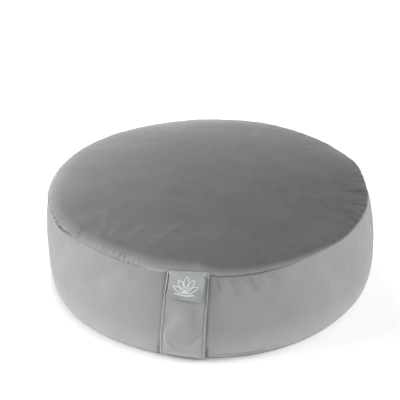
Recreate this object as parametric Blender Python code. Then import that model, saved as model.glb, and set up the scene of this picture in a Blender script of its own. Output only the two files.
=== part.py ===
"""Round meditation cushion (zafu): a filled velvet drum with a carry strap and a small woven tag.

Metres, +Z up. The origin is the middle of the flat base, and the carry strap is at the front, on -Y.
An azimuth is counted in degrees from the front towards +X.
"""

import math
import random

import bmesh
import bpy
from mathutils import Vector

MM = 0.001

# Driving sizes of the filled drum, about 16 in wide and 5 in high.
HEIGHT = 0.1265
BELLY_RADIUS = 0.203
TOP_SEAM_RADIUS = 0.1935
TOP_SEAM_HEIGHT = 0.1092
FOOT_SEAM_RADIUS = 0.2022
FOOT_SEAM_HEIGHT = 0.006
BASE_RADIUS = 0.192

# The crown is a superellipse: flat in the middle, steep at its rim.
CROWN_SPREAD = 2.1
CROWN_FULLNESS = 0.60
# The band swells fast from its seams, most a little below its middle: a fullness below 1 is blunt.
BELLY_FULLNESS = 0.70
BELLY_SINK = 0.525
SEAM_DEPTH = 3.2 * MM
FOOT_SEAM_DEPTH = 1.3 * MM

# Uneven filling, a row for each stretch of the drum.
# rise: the top seam up or down; out, belly and foot: the top seam, the band and the foot seam out or in.
UNEVEN = (
    # azimuth, rise mm, out mm, belly mm, foot mm
    (7.0, -1.6, 0.0, 0.0, 0.0),
    (17.0, -3.0, 0.0, -0.3, -0.3),
    (29.0, -1.2, 0.0, -0.4, -0.4),
    (42.0, 2.5, -0.2, -0.4, -0.4),
    (54.0, 0.7, -0.4, 0.0, -0.2),
    (70.0, 2.6, -0.8, 1.6, 1.6),
    (84.0, 1.8, -1.4, 1.6, 1.4),
    (96.0, 0.8, -1.9, 0.4, 0.6),
    (110.0, 0.4, 1.6, -0.6, 0.0),
    (124.0, 0.2, 0.2, 0.2, 0.0),
    (141.0, 0.0, -0.7, 0.0, 0.0),
    (160.0, 0.6, 0.8, 0.2, 0.0),
    (182.0, -0.4, -0.4, -0.2, 0.0),
    (205.0, -1.0, -1.2, 0.0, 0.0),
    (250.0, 0.4, 0.8, 0.0, 0.0),
    (275.0, 0.0, 1.4, -1.2, 0.0),
    (290.0, -0.8, 1.8, -1.8, -0.6),
    (307.0, -2.6, 2.0, -0.6, 0.6),
    (317.0, 0.6, 0.3, 0.0, 1.6),
    (329.0, 2.5, 0.0, 0.0, 0.8),
    (342.0, 0.9, 0.0, 0.0, 0.0),
    (355.0, 0.0, 0.0, 0.0, 0.0),
)

# Gathers where the crown is eased onto the band, each a soft radial trough.
GATHERS = 38
GATHER_DEPTH = 1.1 * MM
GATHER_WIDTH = 2.6
GATHER_REACH = 0.026
# One deep tuck, left of the strap, where the crown hangs over the seam.
TUCK_AZIMUTH = 303.0
TUCK_DEPTH = 2.6 * MM
TUCK_WIDTH = 13.0

# Facets: turns round the drum, and rings on its crown and band.
TURNS = 144
CROWN_RINGS = (0.25, 0.45, 0.62, 0.75, 0.84, 0.90, 0.94, 0.97, 0.988, 1.0)
BAND_RINGS = (0.025, 0.06, 0.12, 0.21, 0.32, 0.44, 0.56, 0.68, 0.79, 0.88, 0.94, 0.975)
# The edge that turns under, from the foot seam to the flat base: share of the way in, and of the way down.
FOOT_RINGS = ((0.06, 0.30), (0.40, 0.80), (1.0, 1.0))

# Carry strap: two layers of the velvet, its long edges turned in and stitched.
STRAP_HALF_WIDTHS = ((0.0, 0.0218), (0.12, 0.0222), (0.5, 0.0236), (1.0, 0.0243))
STRAP_LEAN = 0.0066
STRAP_PRESS = 2.4 * MM
STRAP_GAP = 0.45 * MM
STRAP_SLACK = 0.9 * MM
STRAP_TOP = 0.014
STRAP_FOOT = 1.0
STRAP_ROWS = 24
# Half of the strap's section: share of the way from its middle to its edge, and thickness there.
STRAP_SECTION = (
    (0.0, 3.0 * MM),
    (0.30, 3.0 * MM),
    (0.60, 2.8 * MM),
    (0.80, 2.3 * MM),
    (0.87, 1.6 * MM),
    (0.92, 3.2 * MM),
    (0.97, 3.2 * MM),
    (1.0, 2.0 * MM),
)

# Woven tag over the top of the strap. Its lower edge is free, lifted and drawn in at the right.
TAG_HALF_WIDTH = 0.0182
TAG_OFFSET = -0.0012
TAG_SKEW = 0.0035
TAG_END = 0.245
TAG_SLANT = 0.011
TAG_THICKNESS = 1.0 * MM
TAG_GAP = 0.4 * MM
TAG_LIFT = 2.6 * MM
TAG_COLUMNS = 10
TAG_ROWS = 12

VELVET = (0.30, 0.30, 0.295)
TAG_SATIN = (0.40, 0.43, 0.44)


def smooth(share):
    """0 to 1 with a soft start and end."""
    share = min(1.0, max(0.0, share))
    return share * share * (3.0 - 2.0 * share)


def turned(azimuth):
    """The azimuth in degrees, from -180 to 180."""
    return (azimuth + 180.0) % 360.0 - 180.0


def uneven(azimuth):
    """The row of UNEVEN at any azimuth, eased between its neighbours, in metres: rise, out, belly and foot."""
    first = UNEVEN[0][0]
    azimuth = first + (azimuth - first) % 360.0
    rows = (*UNEVEN, (first + 360.0, *UNEVEN[0][1:]))
    after = next(i for i, row in enumerate(rows) if i and azimuth <= row[0])
    share = smooth((azimuth - rows[after - 1][0]) / (rows[after][0] - rows[after - 1][0]))
    return [(a + (b - a) * share) * MM for a, b in zip(rows[after - 1][1:], rows[after][1:])]


def gathers():
    """Azimuth, depth and reach of each gather, spaced unevenly round the crown."""
    dice = random.Random(12)
    step = 360.0 / GATHERS
    return [
        (
            (i + dice.uniform(-0.35, 0.35)) * step,
            GATHER_DEPTH * dice.uniform(0.45, 1.0),
            GATHER_REACH * dice.uniform(0.5, 1.2),
        )
        for i in range(GATHERS)
    ]


GATHER_LIST = gathers()


def gather_depth(azimuth, from_seam):
    """How deep the gathers pull the cover in, at a distance from the top seam."""
    depth = 0.0
    for middle, deep, reach in GATHER_LIST:
        across = abs(turned(azimuth - middle)) / GATHER_WIDTH
        if across < 1.0:
            depth += deep * smooth(1.0 - across) * smooth(1.0 - from_seam / reach)
    return depth


def tuck_depth(azimuth, below_seam):
    """How deep the tuck pulls the band in, at a distance below the top seam."""
    across = abs(turned(azimuth - TUCK_AZIMUTH)) / TUCK_WIDTH
    return TUCK_DEPTH * smooth(1.0 - across) * smooth(1.0 - below_seam / GATHER_REACH)


def around(azimuth, radius, height):
    angle = math.radians(azimuth)
    return Vector((radius * math.sin(angle), -radius * math.cos(angle), height))


def crown_point(azimuth, share):
    """A point of the crown: share 0 is its middle, and 1 its rim at the top seam."""
    rise, out, _, _ = uneven(azimuth)
    rim = TOP_SEAM_RADIUS + out
    seam = TOP_SEAM_HEIGHT + rise
    radius = rim * share
    swell = (1.0 - share**CROWN_SPREAD) ** CROWN_FULLNESS
    depth = gather_depth(azimuth, rim - radius)
    return around(azimuth, radius - 0.5 * depth, seam + (HEIGHT - seam) * swell - depth * swell**0.5)


def strap_press(azimuth, share):
    """How far the sewn strap presses the band in, under the top seam."""
    aside = abs(math.radians(turned(azimuth)) * BELLY_RADIUS - strap_middle(share))
    across = smooth((strap_half_width(share) + 0.007 - aside) / 0.007)
    along = smooth(1.0 - share / 0.30)
    return STRAP_PRESS * across * along


def band_point(azimuth, share):
    """A point of the band: share 0 is the top seam, and 1 the foot seam. The seams' grooves aren't in it."""
    rise, out, belly, foot = uneven(azimuth)
    top = TOP_SEAM_HEIGHT + rise
    edge = (TOP_SEAM_RADIUS + out) * (1.0 - share) + (FOOT_SEAM_RADIUS + foot) * share
    halfway = 0.5 * (TOP_SEAM_RADIUS + FOOT_SEAM_RADIUS)
    # The power puts the widest place at BELLY_SINK, and keeps both ends at the seams.
    bent = share ** (math.log(0.5) / math.log(BELLY_SINK))
    swell = math.sin(math.pi * bent) ** BELLY_FULLNESS if 0.0 < share < 1.0 else 0.0
    radius = edge + (BELLY_RADIUS + belly - halfway) * swell - strap_press(azimuth, share)
    below_seam = share * (top - FOOT_SEAM_HEIGHT)
    drawn = 0.5 * gather_depth(azimuth, 2.5 * below_seam) + tuck_depth(azimuth, below_seam)
    return around(azimuth, radius - drawn, top + (FOOT_SEAM_HEIGHT - top) * share)


def seam_groove(point, depth):
    """The same point, drawn in towards the axis."""
    radius = math.hypot(point.x, point.y)
    return Vector((point.x * (1.0 - depth / radius), point.y * (1.0 - depth / radius), point.z))


def foot_point(azimuth, inwards, down):
    """A point of the edge that turns under, between the foot seam and the flat base."""
    seam = FOOT_SEAM_RADIUS + uneven(azimuth)[3]
    return around(azimuth, seam + (BASE_RADIUS - seam) * inwards, FOOT_SEAM_HEIGHT * (1.0 - down))


def drum_rings():
    """Each ring of the cover as a function of azimuth, from the crown's innermost ring to the base."""
    for share in CROWN_RINGS:
        yield lambda azimuth, share=share: crown_point(azimuth, share)
    yield lambda azimuth: seam_groove(band_point(azimuth, 0.0), SEAM_DEPTH)
    for share in BAND_RINGS:
        yield lambda azimuth, share=share: band_point(azimuth, share)
    yield lambda azimuth: seam_groove(band_point(azimuth, 1.0), FOOT_SEAM_DEPTH)
    for inwards, down in FOOT_RINGS:
        yield lambda azimuth, inwards=inwards, down=down: foot_point(azimuth, inwards, down)


def strap_middle(share):
    """Sideways place of the strap's middle: it leans to the left on its way down."""
    return STRAP_LEAN * (0.5 - share)


def strap_half_width(share):
    for (a, wide_a), (b, wide_b) in zip(STRAP_HALF_WIDTHS, STRAP_HALF_WIDTHS[1:]):
        if share <= b:
            return wide_a + (wide_b - wide_a) * smooth((share - a) / (b - a))
    return STRAP_HALF_WIDTHS[-1][1]


def band_frame(sideways, share):
    """The band's point at a sideways distance from the front, and its outward normal there."""
    azimuth = math.degrees(sideways / BELLY_RADIUS)
    step = 0.01
    here = band_point(azimuth, share)
    beside = band_point(azimuth + 1.0, share) - band_point(azimuth - 1.0, share)
    below = band_point(azimuth, min(1.0, share + step)) - band_point(azimuth, max(0.0, share - step))
    return here, below.cross(beside).normalized()


def strap_thickness(across, share):
    """Thickness of the strap from its section, thinned where its top end enters the seam."""
    side = abs(across)
    thick = STRAP_SECTION[-1][1]
    for (a, thick_a), (b, thick_b) in zip(STRAP_SECTION, STRAP_SECTION[1:]):
        if a <= side <= b:
            thick = thick_a + (thick_b - thick_a) * (side - a) / (b - a)
            break
    return thick * (0.50 + 0.50 * smooth(share / 0.10))


def strap_point(across, share, layer):
    """A point of the strap: across from -1 to 1, layer 0 on the band and 1 on its outer face."""
    sideways = strap_middle(share) + across * strap_half_width(share)
    here, normal = band_frame(sideways, share)
    slack = STRAP_SLACK * math.sin(math.pi * share) ** 2
    return here + normal * (STRAP_GAP + slack + layer * strap_thickness(across, share))


def tag_point(across, share, layer):
    """A point of the tag, which lies over the strap: share 0 is its sewn edge, and 1 its free edge."""
    down = STRAP_TOP + (TAG_END + TAG_SLANT * across - STRAP_TOP) * share
    drawn_in = TAG_SKEW * share * 0.5 * (1.0 + across)
    sideways = strap_middle(STRAP_TOP) + TAG_OFFSET + across * TAG_HALF_WIDTH - drawn_in
    here, normal = band_frame(sideways, down)
    on_strap = (sideways - strap_middle(down)) / strap_half_width(down)
    slack = STRAP_SLACK * math.sin(math.pi * down) ** 2
    under = STRAP_GAP + slack + max(strap_thickness(on_strap, down), strap_thickness(0.0, down))
    lift = TAG_LIFT * smooth((share - 0.45) / 0.55) * (0.25 + 0.75 * smooth((across + 0.6) / 1.6))
    return here + normal * (under + TAG_GAP + lift + layer * TAG_THICKNESS)


def material(name, colour, roughness, sheen):
    made = bpy.data.materials.new(name)
    made.use_nodes = True
    shader = made.node_tree.nodes["Principled BSDF"]
    shader.inputs["Base Color"].default_value = (*colour, 1.0)
    shader.inputs["Roughness"].default_value = roughness
    shader.inputs["Metallic"].default_value = 0.0
    shader.inputs["Sheen Weight"].default_value = sheen
    made.diffuse_color = (*colour, 1.0)
    return made


def finished(name, bm, surface, collection):
    """The bmesh as a smooth-shaded object in the collection."""
    bmesh.ops.recalc_face_normals(bm, faces=bm.faces)
    if bm.calc_volume(signed=True) < 0.0:
        bmesh.ops.reverse_faces(bm, faces=bm.faces)
    mesh = bpy.data.meshes.new(name)
    bm.to_mesh(mesh)
    bm.free()
    mesh.shade_smooth()
    mesh.set_sharp_from_angle(angle=math.radians(50.0))
    mesh.materials.append(surface)
    made = bpy.data.objects.new(name, mesh)
    collection.objects.link(made)
    return made


def cushion(surface, collection):
    """The filled drum: a turned cage of rings, each ring then set to its uneven shape."""
    rings = list(drum_rings())
    bm = bmesh.new()
    profile = [bm.verts.new((0.0, -1.0, -float(row))) for row in range(len(rings))]
    edges = [bm.edges.new(pair) for pair in zip(profile, profile[1:])]
    bmesh.ops.spin(
        bm,
        geom=profile + edges,
        cent=(0.0, 0.0, 0.0),
        axis=(0.0, 0.0, 1.0),
        angle=2.0 * math.pi,
        steps=TURNS,
        use_merge=True,
    )
    bm.verts.ensure_lookup_table()
    top_ring, foot_ring = [], []
    for vert in bm.verts:
        row = round(-vert.co.z)
        azimuth = math.degrees(math.atan2(vert.co.x, -vert.co.y))
        if row == 0:
            top_ring.append(vert)
        if row == len(rings) - 1:
            foot_ring.append(vert)
        vert.co = rings[row](azimuth)
    bmesh.ops.contextual_create(bm, geom=foot_ring)
    top = bmesh.ops.contextual_create(bm, geom=top_ring)["faces"]
    middle = bmesh.ops.poke(bm, faces=top)["verts"][0]
    middle.co = (0.0, 0.0, HEIGHT)
    return finished("cushion", bm, surface, collection)


def cloth_strip(name, columns, rows, place, surface, collection):
    """A closed strip of cloth: a flat block of columns by rows, each point then laid by place(across, share, layer)."""
    bm = bmesh.new()
    bmesh.ops.create_grid(bm, x_segments=len(columns) - 1, y_segments=len(rows) - 1, size=1.0)
    lower = list(bm.faces)
    upper = bmesh.ops.extrude_face_region(bm, geom=lower, use_keep_orig=True)["geom"]
    lifted = [item for item in upper if isinstance(item, bmesh.types.BMVert)]
    bmesh.ops.translate(bm, verts=lifted, vec=(0.0, 0.0, 1.0))
    for vert in bm.verts:
        column = round((vert.co.x + 1.0) / 2.0 * (len(columns) - 1))
        row = round((vert.co.y + 1.0) / 2.0 * (len(rows) - 1))
        vert.co = place(columns[column], rows[row], round(vert.co.z))
    return finished(name, bm, surface, collection)


def carry_strap(surface, collection):
    outer = [share for share, _ in STRAP_SECTION[1:]]
    columns = [-share for share in reversed(outer)] + [0.0] + outer
    rows = [STRAP_TOP + (STRAP_FOOT - STRAP_TOP) * i / STRAP_ROWS for i in range(STRAP_ROWS + 1)]
    return cloth_strip("carry_strap", columns, rows, strap_point, surface, collection)


def woven_tag(surface, collection):
    columns = [-1.0 + 2.0 * i / TAG_COLUMNS for i in range(TAG_COLUMNS + 1)]
    rows = [i / TAG_ROWS for i in range(TAG_ROWS + 1)]
    return cloth_strip("woven_tag", columns, rows, tag_point, surface, collection)


def main():
    for old in list(bpy.data.objects):
        bpy.data.objects.remove(old)
    collection = bpy.data.collections.new("meditation_cushion")
    bpy.context.scene.collection.children.link(collection)
    velvet = material("velvet", VELVET, 0.85, 0.6)
    satin = material("tag_satin", TAG_SATIN, 0.45, 0.0)
    cushion(velvet, collection)
    carry_strap(velvet, collection)
    woven_tag(satin, collection)


main()
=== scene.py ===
import math
import random

import bmesh
import bpy
import numpy as np
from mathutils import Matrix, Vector, noise
from mathutils.bvhtree import BVHTree


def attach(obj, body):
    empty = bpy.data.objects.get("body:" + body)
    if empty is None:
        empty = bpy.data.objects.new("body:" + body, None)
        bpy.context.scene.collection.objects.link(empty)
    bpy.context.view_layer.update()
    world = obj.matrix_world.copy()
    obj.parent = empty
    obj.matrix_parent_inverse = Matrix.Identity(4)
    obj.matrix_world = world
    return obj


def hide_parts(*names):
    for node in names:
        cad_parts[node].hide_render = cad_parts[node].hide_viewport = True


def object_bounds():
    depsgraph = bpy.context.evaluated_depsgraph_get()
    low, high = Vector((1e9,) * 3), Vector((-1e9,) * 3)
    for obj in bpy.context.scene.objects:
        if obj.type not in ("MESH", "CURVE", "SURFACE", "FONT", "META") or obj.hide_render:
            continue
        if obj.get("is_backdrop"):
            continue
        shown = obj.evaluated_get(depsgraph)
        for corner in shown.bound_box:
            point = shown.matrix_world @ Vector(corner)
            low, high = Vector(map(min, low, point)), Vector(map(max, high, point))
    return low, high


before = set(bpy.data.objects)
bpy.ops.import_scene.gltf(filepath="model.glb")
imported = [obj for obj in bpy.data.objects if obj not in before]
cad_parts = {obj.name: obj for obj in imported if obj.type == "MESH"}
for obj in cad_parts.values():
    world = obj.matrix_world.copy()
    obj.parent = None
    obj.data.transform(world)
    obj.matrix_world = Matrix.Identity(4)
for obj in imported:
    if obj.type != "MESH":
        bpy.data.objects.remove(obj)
cad_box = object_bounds()

# ----------------------------------------
# The filled cover: a round top panel, a side band and a round base of short-pile grey velvet.
# The three are sewn edge to edge with the seams turned in, then packed tight with loose hulls,
# which swell the band, crown the top and leave fine gathers where the top is eased on.
# ----------------------------------------
MM = 0.001
TURNS = 256
FLAT_RADIUS_SHARE = 0.80
SEAM_DEPTH, FOOT_SEAM_DEPTH = 3.2 * MM, 1.3 * MM
# Half of the gap between the two edges at the top seam.
SEAM_OPEN = (
    # azimuth, mm
    (-180, 0.2), (-120, 0.2), (-80, 0.25), (-67, 0.35), (-59, 0.9), (-53, 1.1), (-49, 0.7), (-45, 0.3),
    (-41, 0.15), (-35, 0.14), (-22, 0.12), (-15, 0.16), (-11.5, 0.08), (6.5, 0.08), (9, 0.6), (24, 0.5),
    (34, 0.2), (50, 0.08), (105, 0.08), (125, 0.2),
)
# How far the top panel's roll hangs below the seam line of the solid. It stands up over the tag.
SEAM_DIP = (
    # azimuth, mm
    (-180, 0), (-30, 0), (-14, 0.3), (-8.5, 1.1), (-2, -0.5), (3, -1.9), (5, -2.1), (7.4, 2), (9, 2.4),
    (12.5, 1.3), (16, 1), (22, 1.3), (38, 0.9), (45, 0.3), (58, 0.8), (64, 0.8), (74, 2.1), (88, 2), (104, 0.6),
    (114, 0),
)
# Rings of the top panel by their distance from its seam, and of the band as shares of its height.
TOP_RINGS_MM = (34, 30, 26, 22, 18.5, 15.2, 12.2, 9.5, 7.2, 5.2, 3.6, 2.3, 1.3, 0.6)
BAND_LIP_MM = ((0.7, 0.55), (1.15, 1.7))
BAND_RINGS = (
    0.036, 0.054, 0.078, 0.108, 0.145, 0.19, 0.24, 0.295, 0.35, 0.41, 0.47, 0.53, 0.59, 0.65, 0.71, 0.77,
    0.825, 0.875, 0.915, 0.94, 0.952, 0.963, 0.973, 0.983,
)
# The foot seam and the edge that turns under it: out from the seam, and up from it.
FOOT_RINGS_MM = ((0.2, 1.4), (0, 0.4), (-2.4, 0), (-0.9, -0.5), (-1.2, -1.5), (-2, -3), (-3.6, -4.5), (-5.8, -5.6))
# How far the edge of the base shows below that seam.
BASE_SHOWS = (
    # azimuth, mm
    (-180, 0.3), (-60, 0.3), (-16, -0.5), (-8, -0.5), (-2, -1.1), (12, -1), (20, -0.4), (30, 0.1), (90, 0.1),
)
BASE_RINGS_MM = (192.5, 188, 178)


def opened(mesh):
    bm = bmesh.new()
    bm.from_mesh(mesh)
    return bm


def azimuth_of(x, y):
    """Degrees round the drum from its front, where the strap is, towards +X."""
    return np.degrees(np.arctan2(x, -np.asarray(y)))


def by_azimuth(table, azimuth, column=1):
    """A column of a table that goes round the drum, at any azimuth."""
    rows = np.array(table).T
    return np.interp(azimuth, rows[0], rows[column], period=360.0)


def seam_line(bm, low, high):
    """A sewn seam of the drum, which is its sharp inward fold between two heights: azimuth, radius and height."""
    folds = [e for e in bm.edges if e.calc_face_angle_signed(0.0) < -0.6]
    points = {v for e in folds for v in e.verts if low < v.co.z < high}
    line = sorted((float(azimuth_of(v.co.x, v.co.y)), math.hypot(v.co.x, v.co.y), v.co.z) for v in points)
    return np.array(line).T


drum = opened(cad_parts["cushion"].data)
bmesh.ops.remove_doubles(drum, verts=drum.verts, dist=1e-5)
drum_surface = BVHTree.FromBMesh(drum)
drum_top = max(v.co.z for v in drum.verts)
top_seam = seam_line(drum, 0.6 * drum_top, drum_top)
foot_seam = seam_line(drum, 0.02 * drum_top, 0.2 * drum_top)
# The fold is drawn in from the edge of the cloth on either side of it.
top_seam[1] += SEAM_DEPTH
top_seam[2] -= by_azimuth(SEAM_DIP, top_seam[0]) * MM
foot_seam[1] += FOOT_SEAM_DEPTH
band_tall = float(np.mean(top_seam[2]) - np.mean(foot_seam[2]))
drum.free()


def seam_at(line, azimuth):
    """Radius and height of a seam at any azimuth."""
    radius = np.interp(azimuth, line[0], line[1], period=360.0)
    return radius, np.interp(azimuth, line[0], line[2], period=360.0)


def smooth(share):
    """0 to 1 with a soft start and end, also of an array."""
    share = np.clip(share, 0.0, 1.0)
    return share * share * (3.0 - 2.0 * share)


def seam_gap(azimuth):
    return by_azimuth(SEAM_OPEN, azimuth) * MM


def seam_lift(azimuth):
    return max(0.0, -float(by_azimuth(SEAM_DIP, azimuth))) * MM


def seam_depth(azimuth):
    """The fold is shallow where its two edges lie close."""
    return SEAM_DEPTH * float(np.clip(seam_gap(azimuth) / (0.35 * MM), 0.3, 1.0))


def around(azimuth, radius, height):
    angle = math.radians(azimuth)
    return Vector((radius * math.sin(angle), -radius * math.cos(angle), height))


def on_top(azimuth, radius):
    """The point of the drum's top at a radius, found from above, and lifted near the edge over the tag."""
    hit = drum_surface.ray_cast(around(azimuth, radius, 0.3), Vector((0, 0, -1)))[0]
    inside = float(seam_at(top_seam, azimuth)[0]) - radius
    return around(azimuth, radius, hit.z + seam_lift(azimuth) * float(smooth(1.0 - inside / (24 * MM))))


def on_band(azimuth, share):
    """The point of the drum's band at a share of the way down from the top seam, found from outside."""
    top = seam_at(top_seam, azimuth)[1]
    foot = seam_at(foot_seam, azimuth)[1]
    height = top + (foot - top) * share
    hit = drum_surface.ray_cast(around(azimuth, 0.4, height), -around(azimuth, 1.0, 0.0))[0]
    return around(azimuth, math.hypot(hit.x, hit.y), height)


def cover_rings():
    """Each ring of the cover outside the flat middle of its top, as a function of azimuth, down to the base."""

    def beside_top_seam(azimuth, out, up):
        radius, height = seam_at(top_seam, azimuth)
        return around(azimuth, radius + out, height + up)

    def rolled_edge(azimuth):
        """Half way down the wall of the roll over the seam, a little proud of it."""
        edge = on_top(azimuth, seam_at(top_seam, azimuth)[0] - TOP_RINGS_MM[-1] * MM)
        lip = beside_top_seam(azimuth, 0.0, seam_gap(azimuth))
        proud = 0.35 - 0.2 * float(smooth(1.5 - abs(azimuth + 1.0) / 10.0))
        return edge.lerp(lip, 0.5) + around(azimuth, proud * (edge - lip).length, 0.0)

    def beside_foot_seam(azimuth, out, up):
        radius, height = seam_at(foot_seam, azimuth)
        if up < 0.0:
            out += float(by_azimuth(BASE_SHOWS, azimuth)) * MM
        return around(azimuth, radius + out, max(0.0, height + up))

    for from_seam in TOP_RINGS_MM:
        yield lambda a, d=from_seam: on_top(a, seam_at(top_seam, a)[0] - d * MM)
    yield rolled_edge
    for out, up in ((0.0, 1.0), (-0.4, 0.25), (-1.0, 0.0), (-0.4, -0.25), (0.0, -1.0)):
        yield lambda a, out=out, up=up: beside_top_seam(a, out * seam_depth(a), up * seam_gap(a))
    for out, fall in BAND_LIP_MM:
        yield lambda a, out=out, fall=fall: beside_top_seam(a, out * MM, -fall * MM - seam_gap(a))
    for share in BAND_RINGS:
        yield lambda a, share=share: on_band(a, share)
    for out, up in FOOT_RINGS_MM:
        yield lambda a, out=out, up=up: beside_foot_seam(a, out * MM, up * MM)
    for radius in BASE_RINGS_MM:
        yield lambda a, radius=radius: around(a, radius * MM, 0.0)


def round_disc(bm, segments):
    """A square grid drawn out to a disc of radius 1, its edge evenly divided."""
    bmesh.ops.create_grid(bm, x_segments=segments, y_segments=segments, size=1.0)
    for vert in bm.verts:
        x, y = vert.co.x, vert.co.y
        if abs(x) < 1e-9 and abs(y) < 1e-9:
            continue
        if abs(x) > abs(y):
            reach, angle = x, 0.25 * math.pi * y / x
        else:
            reach, angle = y, 0.5 * math.pi - 0.25 * math.pi * x / y
        vert.co = (reach * math.cos(angle), reach * math.sin(angle), 0.0)


def sewn_cover():
    """The cover as cut and sewn, still open in the middle of its base, with what the seams hold marked."""
    bm = bmesh.new()
    round_disc(bm, TURNS // 4)
    rings = list(cover_rings())
    sewn = bm.verts.layers.float.new("sewn")
    edge = [e for e in bm.edges if e.is_boundary]
    for vert in bm.verts:
        azimuth = float(azimuth_of(vert.co.x, vert.co.y))
        reach = math.hypot(vert.co.x, vert.co.y) * FLAT_RADIUS_SHARE
        vert.co = on_top(azimuth, reach * seam_at(top_seam, azimuth)[0])
    first_held = len(TOP_RINGS_MM) + 2
    held = set(range(first_held, first_held + 3))
    held |= set(range(len(rings) - len(BASE_RINGS_MM) - len(FOOT_RINGS_MM) + 1, len(rings)))
    for number, ring in enumerate(rings):
        grown = bmesh.ops.extrude_edge_only(bm, edges=edge)["geom"]
        edge = [item for item in grown if isinstance(item, bmesh.types.BMEdge) and item.is_boundary]
        for vert in [item for item in grown if isinstance(item, bmesh.types.BMVert)]:
            vert.co = ring(float(azimuth_of(vert.co.x, vert.co.y)))
            vert[sewn] = 1.0 if number in held else 0.0
    bmesh.ops.recalc_face_normals(bm, faces=bm.faces)
    return bm


def in_scene(name, data):
    made = bpy.data.objects.new(name, data)
    bpy.context.scene.collection.objects.link(made)
    return made


def as_object(name, bm, *materials):
    """A bmesh as a smooth-shaded object in the scene."""
    mesh = bpy.data.meshes.new(name)
    bm.to_mesh(mesh)
    bm.free()
    mesh.shade_smooth()
    for material in materials:
        mesh.materials.append(material)
    return in_scene(name, mesh)


cover = as_object("velvet_cover", sewn_cover())


def points_of(mesh, what="co"):
    """Where each point of the mesh is, or its normal."""
    values = np.empty(len(mesh.vertices) * 3)
    mesh.vertices.foreach_get(what, values)
    return values.reshape(-1, 3)


def set_points(mesh, points):
    mesh.vertices.foreach_set("co", points.reshape(-1))
    mesh.update()


def keep_value(mesh, name, values):
    """Stores a number for each point of the mesh."""
    made = mesh.attributes.get(name) or mesh.attributes.new(name, "FLOAT", "POINT")
    made.data.foreach_set("value", values.astype(np.float32))


def kept_value(mesh, name):
    values = np.zeros(len(mesh.vertices))
    if name in mesh.attributes:
        mesh.attributes[name].data.foreach_get("value", values)
    return values


def on_cover(points):
    """Azimuth, distance from the top seam, and share of the way down the band.

    The distance is below 0 on the top panel and over 0 on the band.
    """
    azimuth = azimuth_of(points[:, 0], points[:, 1])
    radius, height = seam_at(top_seam, azimuth)
    away = np.hypot(np.hypot(points[:, 0], points[:, 1]) - radius, points[:, 2] - height)
    down = (height - points[:, 2]) / (height - seam_at(foot_seam, azimuth)[1])
    return azimuth, np.where(points[:, 2] > height, -away, away), down


# The carry strap lies on the band and is sewn down at both ends, so the band can't swell or wave
# under it. Its middle leans to the left on its way down, and it widens a little: shares of the way
# down, and mm there.
STRAP_MIDDLE_MM = ((0.0, 0.4, 0.7, 1.0), (2.9, -0.1, -2.2, -3.8))
STRAP_HALF_WIDTHS_MM = ((0.0, 0.12, 0.4, 0.7, 1.0), (22.7, 22.7, 22.9, 23.5, 24.4))
BAND_RADIUS = 0.203
HELD_BESIDE_STRAP = 7 * MM


def strap_middle(down):
    return np.interp(down, *STRAP_MIDDLE_MM) * MM


def strap_half_width(down):
    return np.interp(down, *STRAP_HALF_WIDTHS_MM) * MM


def past_strap(azimuth, down):
    """How far a point of the band is outside the strap's edge, and below 0 under the strap."""
    return np.abs(np.radians(azimuth) * BAND_RADIUS - strap_middle(down)) - strap_half_width(down)


def free_of_strap(azimuth, distance, down):
    """0 where the strap holds the band down, 1 where the cover is free of it."""
    return np.maximum(smooth(past_strap(azimuth, down) / HELD_BESIDE_STRAP), smooth(-distance / (6 * MM)))


# The hulls push the cloth out between the seams, and the cloth that is eased onto the top seam
# buckles as it is pushed. No point moves further than FILL_MOST, and the drum keeps its size,
# because only FILL_SWELL of the even swelling is kept beside the buckles.
FILL_FRAMES, FILL_PRESSURE = 16, 3.5
FILL_MOST, FILL_START = 4.0 * MM, 0.8 * MM
FILL_SWELL, FILL_EVENING = 0.15, 60
EASE_REACH, EASE = 0.032, -0.022
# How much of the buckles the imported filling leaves: most on the rim, least in front.
BUCKLED = (
    # azimuth, share on the rim
    (-150, 0.22), (-70, 0.2), (40, 0.14), (75, 0.36), (98, 0.3), (112, 0.14), (130, 0.1),
)
BUCKLED_INSIDE, BUCKLED_REACH = 0.30, 0.045


def evened(mesh, move, rounds):
    """A movement of the mesh's points, averaged with their neighbours' again and again."""
    ends = np.empty(len(mesh.edges) * 2, dtype=np.int64)
    mesh.edges.foreach_get("vertices", ends)
    a, b = ends.reshape(-1, 2).T
    count = len(move)
    many = np.maximum(1, np.bincount(np.concatenate((a, b)), minlength=count))
    for _ in range(rounds):
        total = [np.bincount(a, axis[b], count) + np.bincount(b, axis[a], count) for axis in move.T]
        move = 0.5 * move + 0.5 * (np.array(total) / many).T
    return move


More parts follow.
